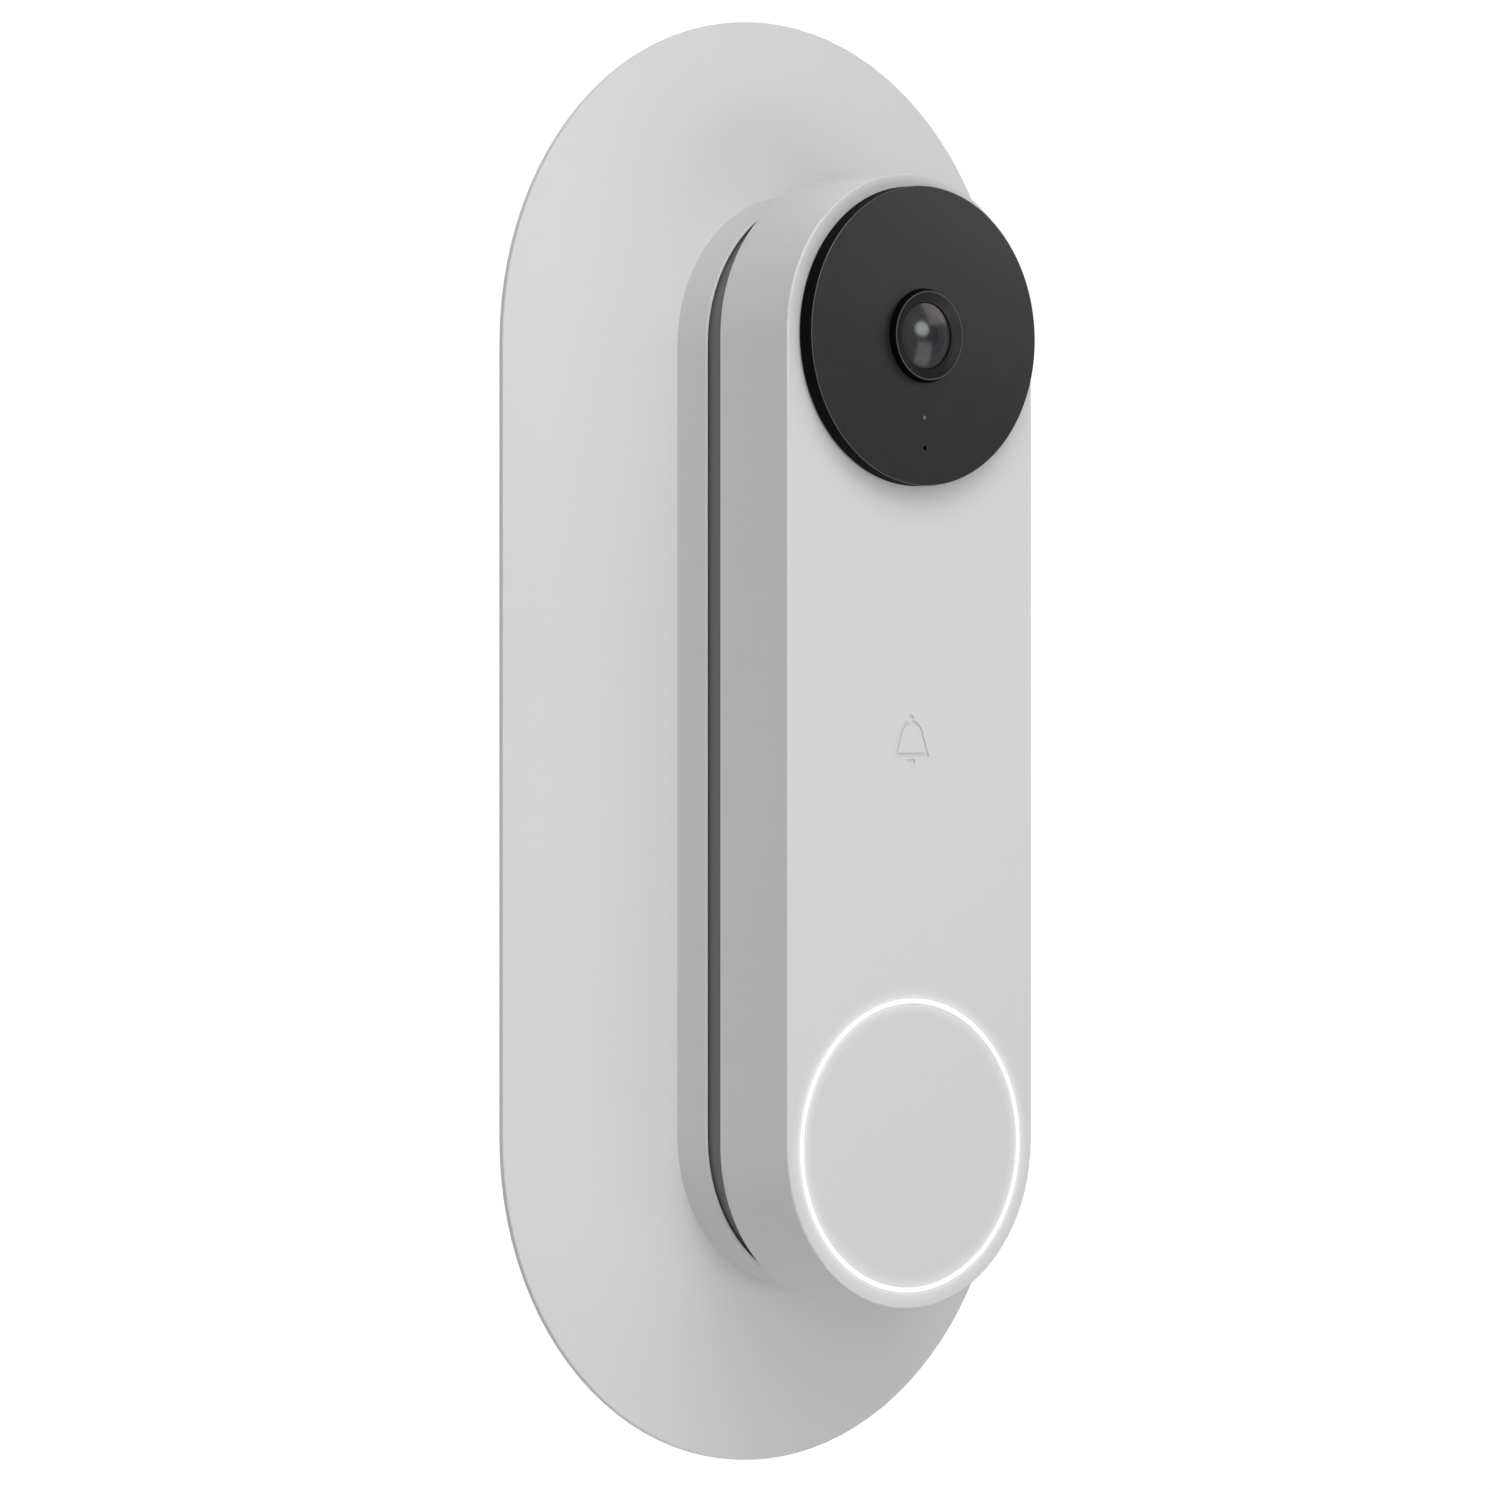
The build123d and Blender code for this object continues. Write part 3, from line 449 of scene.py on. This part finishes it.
def ring_diffuser(name):
    """The ring's diffuser: brightest along its middle, softer at both edges."""
    made, nodes, links, shader = material(name)
    near = ring_distance(nodes, links)
    across = spread(nodes, links, near, 0.0, 1.0, 0.0, RING_HALF_WIDTH)
    stops = [(0.0, (1.0, 1.0, 1.0)), (1.0, (0.96, 0.97, 1.0))]
    links.new(ramp(nodes, links, across, stops), shader.inputs["Emission Color"])
    bright = spread(nodes, links, near, RING_CORE, RING_EDGE, *RING_SPAN, smooth=True)
    links.new(bright, shader.inputs["Emission Strength"])
    shader.inputs["Base Color"].default_value = (0.5, 0.5, 0.505, 1)
    links.new(spread(nodes, links, noise(nodes, links, 800.0), 0.35, 0.45), shader.inputs["Roughness"])
    return made


WHITE = (0.6, 0.6, 0.6)

MATERIALS = {
    "white_shell": white_shell("white_shell"),
    "white_plate": moulded("white_plate", WHITE, 0.55),
    "dark_housing": moulded("dark_housing", (0.16, 0.16, 0.163), 0.6, tint=0.03),
    "window": satin_black("window", (0.008, 0.008, 0.0083), 0.4, tint=0.03),
    "bezel": satin_black("bezel", (0.002, 0.002, 0.0022), 0.45, tint=0.05),
    "lens_glass": glass("lens_glass", (0.8, 0.75, 0.85), 0.02),
    "lens_black": moulded("lens_black", (0.012, 0.012, 0.013), 0.55, tint=0.1),
    "filter_glass": glass("filter_glass", (0.6, 0.8, 0.75), 0.03),
    "diffuser": ring_diffuser("diffuser"),
    "clear_plastic": glass("clear_plastic", (0.9, 0.93, 0.95), 0.15, 0.7),
    "rubber_grey": rubber("rubber_grey", (0.03, 0.03, 0.032)),
    "foam": cells("foam", (0.03, 0.03, 0.032)),
    "adhesive": rubber("adhesive", (0.015, 0.015, 0.015), 0.5),
    "steel": metal("steel", (0.62, 0.62, 0.63), 0.3),
    "spring_steel": metal("spring_steel", (0.5, 0.5, 0.51), 0.28, (1, 1, 0.05)),
    "brass": metal("brass", (0.75, 0.56, 0.25), 0.28),
    "board": circuit_board("board"),
    "chip": moulded("chip", (0.02, 0.02, 0.022), 0.5, tint=0.1),
    "shield": metal("shield", (0.72, 0.72, 0.72), 0.25, (1, 1, 0.1)),
    "flex": moulded("flex", (0.5, 0.2, 0.03), 0.3, tint=0.1),
    "copper": metal("copper", (0.8, 0.42, 0.25), 0.25),
    "pouch": metal("pouch", (0.6, 0.61, 0.62), 0.3, (0.1, 1, 1), 300.0),
    "wire_red": rubber("wire_red", (0.4, 0.02, 0.015), 0.4),
    "connector": moulded("connector", (0.7, 0.66, 0.55), 0.45),
    "led": glowing("led", (1.0, 0.9, 0.6), 0.3),
}
# Painted shade: a darker, duller copy of the black plastic, put on side walls and bores that face away from
# the front.
PAINTED_SIDE_SHADE = moulded("painted_side_shade", (0.0015, 0.0015, 0.0015), 0.6, tint=0.1, depth=0.001 * MM, gloss=0.05)
# Painted highlight: a lighter copy of the black plastic, put on fine bevels and lips where a thin line of
# light would catch.
PAINTED_EDGE_HIGHLIGHT = moulded("painted_edge_highlight", (0.07, 0.07, 0.07), 0.35, tint=0.05, depth=0.001 * MM)
STATUS_GREEN = glowing("status_green", (0.3, 1.0, 0.4), 0.12, (0.03, 0.07, 0.04))
DOME_GLASS = coated_lens("dome_glass")


def dress_cad_nodes():
    """Give every CAD node the procedural material of its slot."""
    for part in frame["record"]["subparts"]:
        piece = frame["nodes"][part["node"]]
        piece.data.materials.clear()
        piece.data.materials.append(MATERIALS[part["material_slot"]])
    frame["nodes"]["light_pipe"].data.materials[0] = STATUS_GREEN


def finish_piece(piece, body, node, finish):
    """Dress and smooth a piece built here, and put it in the place of its CAD node."""
    piece.data.materials.clear()
    piece.data.materials.append(finish)
    shade(piece)
    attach(piece, body)
    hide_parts(node)


def paint(piece, finish, chosen):
    """Give another material to the faces that a test of their normal picks; here that paints shade or a
    highlight by which way a face looks.

    A normal's y is -1 on a face that looks straight out and 1 on a face that looks at the wall.
    """
    piece.data.materials.append(finish)
    for face in piece.data.polygons:
        if chosen(face.normal):
            face.material_index = len(piece.data.materials) - 1


# ---------------------------------------------------------------- pieces built here

def window_disc():
    """The satin black front disc, with its fine bevel, lens hole and two pin holes; its wall is painted in
    shade and its bevel painted as a highlight.
    """
    hole_r = BEZEL_R + FIT_GAP
    outline = soften([
        (hole_r, WINDOW_BACK, 0), (WINDOW_BOSS_R, WINDOW_BACK, 0.2 * MM), (WINDOW_BOSS_R, WINDOW_SEAT, 0),
        (WINDOW_R, WINDOW_SEAT, 0.1 * MM), (WINDOW_R, WINDOW_FRONT, WINDOW_BEVEL), (hole_r, WINDOW_FRONT, 0),
    ])
    disc = turn("window_disc", outline, CAMERA_Z, steps=240)
    start = WINDOW_BACK - MM
    end = WINDOW_FRONT + MM
    shape(disc, rod("status hole", 0, STATUS_Z, PIN_HOLE_R, start, end), "DIFFERENCE")
    shape(disc, rod("status well", 0, STATUS_Z, LIGHT_WELL_R, start, LIGHT_WELL_FRONT), "DIFFERENCE")
    shape(disc, rod("sound hole", 0, MIC_Z, PIN_HOLE_R, start, end), "DIFFERENCE")
    finish_piece(disc, "unit", "camera_window", MATERIALS["window"])
    paint(disc, PAINTED_SIDE_SHADE, lambda normal: normal.y > -0.3)         # painted shade: the wall and the back
    paint(disc, PAINTED_EDGE_HIGHLIGHT, lambda normal: -0.9 < normal.y < -0.5)   # painted highlight: the bevel
    return disc


def lens_ring():
    """The ring round the lens: a black wall in painted shade, a fine lip painted pale as a highlight, and a
    cone down to the glass.
    """
    seat_r = DOME_R + FIT_GAP
    foot = BEZEL_FRONT - CONE_DEPTH
    outline = soften([
        (BEZEL_BORE_R, BEZEL_BACK, 0), (BEZEL_R, BEZEL_BACK, 0.1 * MM), (BEZEL_R, WINDOW_FRONT, 0),
        (BEZEL_LIP_R, BEZEL_FRONT, 0.08 * MM), (BEZEL_LIP_R - BEZEL_LIP_WIDTH, BEZEL_FRONT, 0.05 * MM),
        (CONE_R, foot, 0.1 * MM), (seat_r, foot - 0.15 * MM, 0),
        (seat_r, DOME_BACK, 0), (BEZEL_BORE_R, DOME_BACK, 0),
    ])
    ring = turn("lens_ring", outline, CAMERA_Z, steps=160)
    finish_piece(ring, "unit", "lens_bezel", MATERIALS["bezel"])
    paint(ring, PAINTED_SIDE_SHADE, lambda normal: abs(normal.y) < 0.4)     # painted shade: the wall and the bore
    paint(ring, PAINTED_EDGE_HIGHLIGHT, lambda normal: normal.y < -0.95)         # painted highlight: the lip


def crown(radius, edge, bulge, steps):
    """Points on a shallow dome, from its middle out to its edge."""
    sphere = (radius**2 + bulge**2) / (2 * bulge)
    points = []
    for step in range(steps + 1):
        out = radius * step / steps
        points.append((out, edge + bulge - sphere + math.sqrt(sphere**2 - out**2)))
    return points


def lens_front():
    """The domed front glass of the camera."""
    front = crown(DOME_R, DOME_EDGE, DOME_CROWN - DOME_EDGE, 24)
    back = crown(DOME_R, DOME_BACK, DOME_HOLLOW, 12)
    dome = turn("lens_front", front + back[::-1], CAMERA_Z, steps=128, closed=False)
    finish_piece(dome, "unit", "lens_dome", DOME_GLASS)
    return dome


def glow_ring():
    """The ring diffuser: a thin wall that shows at the front, on a shoulder over the lamps."""
    outline = soften([
        (RING_SHOULDER_R, RING_BACK, 0), (RING_R, RING_BACK, 0.15 * MM), (RING_R, RING_FRONT, RING_ROUND),
        (RING_BORE_R, RING_FRONT, RING_ROUND), (RING_BORE_R, RING_SHOULDER, 0),
        (RING_SHOULDER_R, RING_SHOULDER, 0),
    ])
    ring = turn("glow_ring", outline, BUTTON_Z, steps=256)
    finish_piece(ring, "unit", "light_ring", MATERIALS["diffuser"])


def guide_pin(x, z):
    neck = CAP_BACK + GUIDE_BITE
    outline = soften([
        (0, GUIDE_END, 0), (GUIDE_HEAD_R, GUIDE_END, 0.15 * MM), (GUIDE_HEAD_R, GUIDE_HEAD_END, 0),
        (GUIDE_R, GUIDE_HEAD_END, 0), (GUIDE_R, neck, 0), (0, neck, 0),
    ], 3)
    return turn("guide pin", outline, z, x, 32, closed=False)


def button_face():
    """The round push button with its stem and three headed guide pins."""
    outline = soften([
        (0, CAP_FRONT, 0), (CAP_R, CAP_FRONT, CAP_ROUND), (CAP_R, CAP_BACK, 0.1 * MM),
        (STEM_R, CAP_BACK, 0.2 * MM), (STEM_R, STEM_END, 0.15 * MM), (0, STEM_END, 0),
    ])
    button = turn("button_face", outline, BUTTON_Z, steps=256, closed=False)
    for degrees in (90, 210, 330):
        x, z = polar(GUIDE_CIRCLE_R, degrees)
        shape(button, guide_pin(x, BUTTON_Z + z), "UNION")
    finish_piece(button, "button", "button_cap", MATERIALS["white_shell"])


dress_cad_nodes()
disc_piece = window_disc()
lens_ring()
lens_piece = lens_front()
glow_ring()
button_face()


# ---------------------------------------------------------------- camera and light

# The camera is turned towards -X from straight in front, and moved a little across and down.
CAMERA_TURN = math.radians(40.54)
CAMERA_DISTANCE = 1.2005
CAMERA_SIDE = -0.0015
CAMERA_HEIGHT = -0.0005
IMAGE_WIDTH = 1492
FOCAL_PIXELS = 8337.6
SENSOR_WIDTH = 36.0

ROOM_LIGHT = 0.38
WHITE_GROUND = 1.05
ROSE = (1, 0.88, 0.92)
PALE_ROSE = (1, 0.9, 0.94)
PALE_GREEN = (0.93, 1, 0.97)


def add_camera():
    data = bpy.data.cameras.new("camera")
    camera = bpy.data.objects.new("camera", data)
    bpy.context.scene.collection.objects.link(camera)
    ahead = Vector((math.sin(CAMERA_TURN), math.cos(CAMERA_TURN), 0))
    side = Vector((math.cos(CAMERA_TURN), -math.sin(CAMERA_TURN), 0))
    camera.location = side * CAMERA_SIDE - ahead * CAMERA_DISTANCE + Vector((0, 0, CAMERA_HEIGHT))
    camera.rotation_euler = ahead.to_track_quat("-Z", "Y").to_euler()
    data.sensor_width = SENSOR_WIDTH
    data.lens = FOCAL_PIXELS / IMAGE_WIDTH * SENSOR_WIDTH
    data.clip_start = 0.01
    data.clip_end = 20
    bpy.context.scene.camera = camera


def add_softbox(name, azimuth, elevation, distance, size, power, aim=(0, 0, 0), tint=(1, 1, 1)):
    """A soft panel light. Azimuth is in degrees from straight in front, towards -X."""
    swing = math.radians(azimuth)
    rise = math.radians(elevation)
    flat = distance * math.cos(rise)
    away = Vector((-flat * math.sin(swing), -flat * math.cos(swing), distance * math.sin(rise)))
    data = bpy.data.lights.new(name, "AREA")
    data.shape = "RECTANGLE"
    data.size = size[0]
    data.size_y = size[1]
    data.energy = power
    data.color = tint
    lamp = bpy.data.objects.new(name, data)
    bpy.context.scene.collection.objects.link(lamp)
    lamp.location = away + Vector(aim)
    lamp.rotation_euler = (-away).to_track_quat("-Z", "Y").to_euler()
    lamp.visible_camera = False
    return lamp


def light_only(lamp, piece):
    """Let a lamp reach only one piece, as a small card held beside it would."""
    group = bpy.data.collections.new(lamp.name + " piece")
    group.objects.link(piece)
    lamp.light_linking.receiver_collection = group


def light_past(lamp, piece):
    """Keep a lamp off one piece, as a flag held in front of it would."""
    light_only(lamp, piece)
    lamp.light_linking.receiver_collection.collection_objects[0].light_linking.link_state = "EXCLUDE"


def add_world():
    """Soft grey light all round, and plain white behind the object."""
    world = bpy.data.worlds.new("studio")
    world.use_nodes = True
    bpy.context.scene.world = world
    nodes = world.node_tree.nodes
    links = world.node_tree.links
    soft = nodes["Background"]
    soft.inputs["Color"].default_value = (1, 1, 1, 1)
    soft.inputs["Strength"].default_value = ROOM_LIGHT
    white = nodes.new("ShaderNodeBackground")
    white.inputs["Color"].default_value = (1, 1, 1, 1)
    white.inputs["Strength"].default_value = WHITE_GROUND
    rays = nodes.new("ShaderNodeLightPath")
    mix = nodes.new("ShaderNodeMixShader")
    links.new(rays.outputs["Is Camera Ray"], mix.inputs["Fac"])
    links.new(soft.outputs["Background"], mix.inputs[1])
    links.new(white.outputs["Background"], mix.inputs[2])
    links.new(mix.outputs["Shader"], nodes["World Output"].inputs["Surface"])


FLOOR_Z = -0.26
FLOOR_HALF = 0.6


def add_floor():
    corners = [(-1, -1), (1, -1), (1, 1), (-1, 1)]
    mesh = bpy.data.meshes.new("floor")
    mesh.from_pydata([(x * FLOOR_HALF, y * FLOOR_HALF, FLOOR_Z) for x, y in corners], [], [(0, 1, 2, 3)])
    floor = link("floor", mesh)
    floor.data.materials.append(moulded("floor_paint", (0.8, 0.8, 0.8), 0.8))


def add_room_lights():
    """Two keys in front, a low fill that is kept off the lens, and a light from behind."""
    panel = (0.6, 0.6)
    add_softbox("key high", 26, 48, 1.0, panel, 4.6)
    add_softbox("key level", 24, 12, 1.0, panel, 2.2)
    low_fill = add_softbox("low fill", -10, -25, 1.0, panel, 4.0)
    light_past(low_fill, lens_piece)
    add_softbox("back", 195, 38, 1.4, (1.0, 1.0), 6.0)


def add_reflection_cards():
    """Small cards, each for one piece: four reflections in the lens and a sheen on the window."""
    middle = (0, -WINDOW_FRONT, CAMERA_Z)
    round_card = add_softbox("lens round", -32, 8.6, 1.0, (0.32, 0.22), 1.1, middle, PALE_GREEN)
    round_card.data.shape = "ELLIPSE"
    panel_card = add_softbox("lens panel", -36, -13, 1.0, (0.36, 0.36), 0.6, middle, PALE_GREEN)
    side_card = add_softbox("lens side", -62, 30, 1.2, (0.8, 0.8), 3.0, middle, ROSE)
    rim_card = add_softbox("lens rim", -82, 30, 1.2, (0.4, 0.9), 1.6, middle, PALE_ROSE)
    window_card = add_softbox("window card", -60, 22, 0.2, (0.1, 0.1), 0.15, middle)
    for card in (round_card, panel_card, side_card, rim_card):
        light_only(card, lens_piece)
    light_only(window_card, disc_piece)


add_camera()
add_floor()
add_world()
add_room_lights()
add_reflection_cards()

bpy.context.scene.view_settings.view_transform = "Standard"
bpy.context.scene.cycles.use_denoising = True
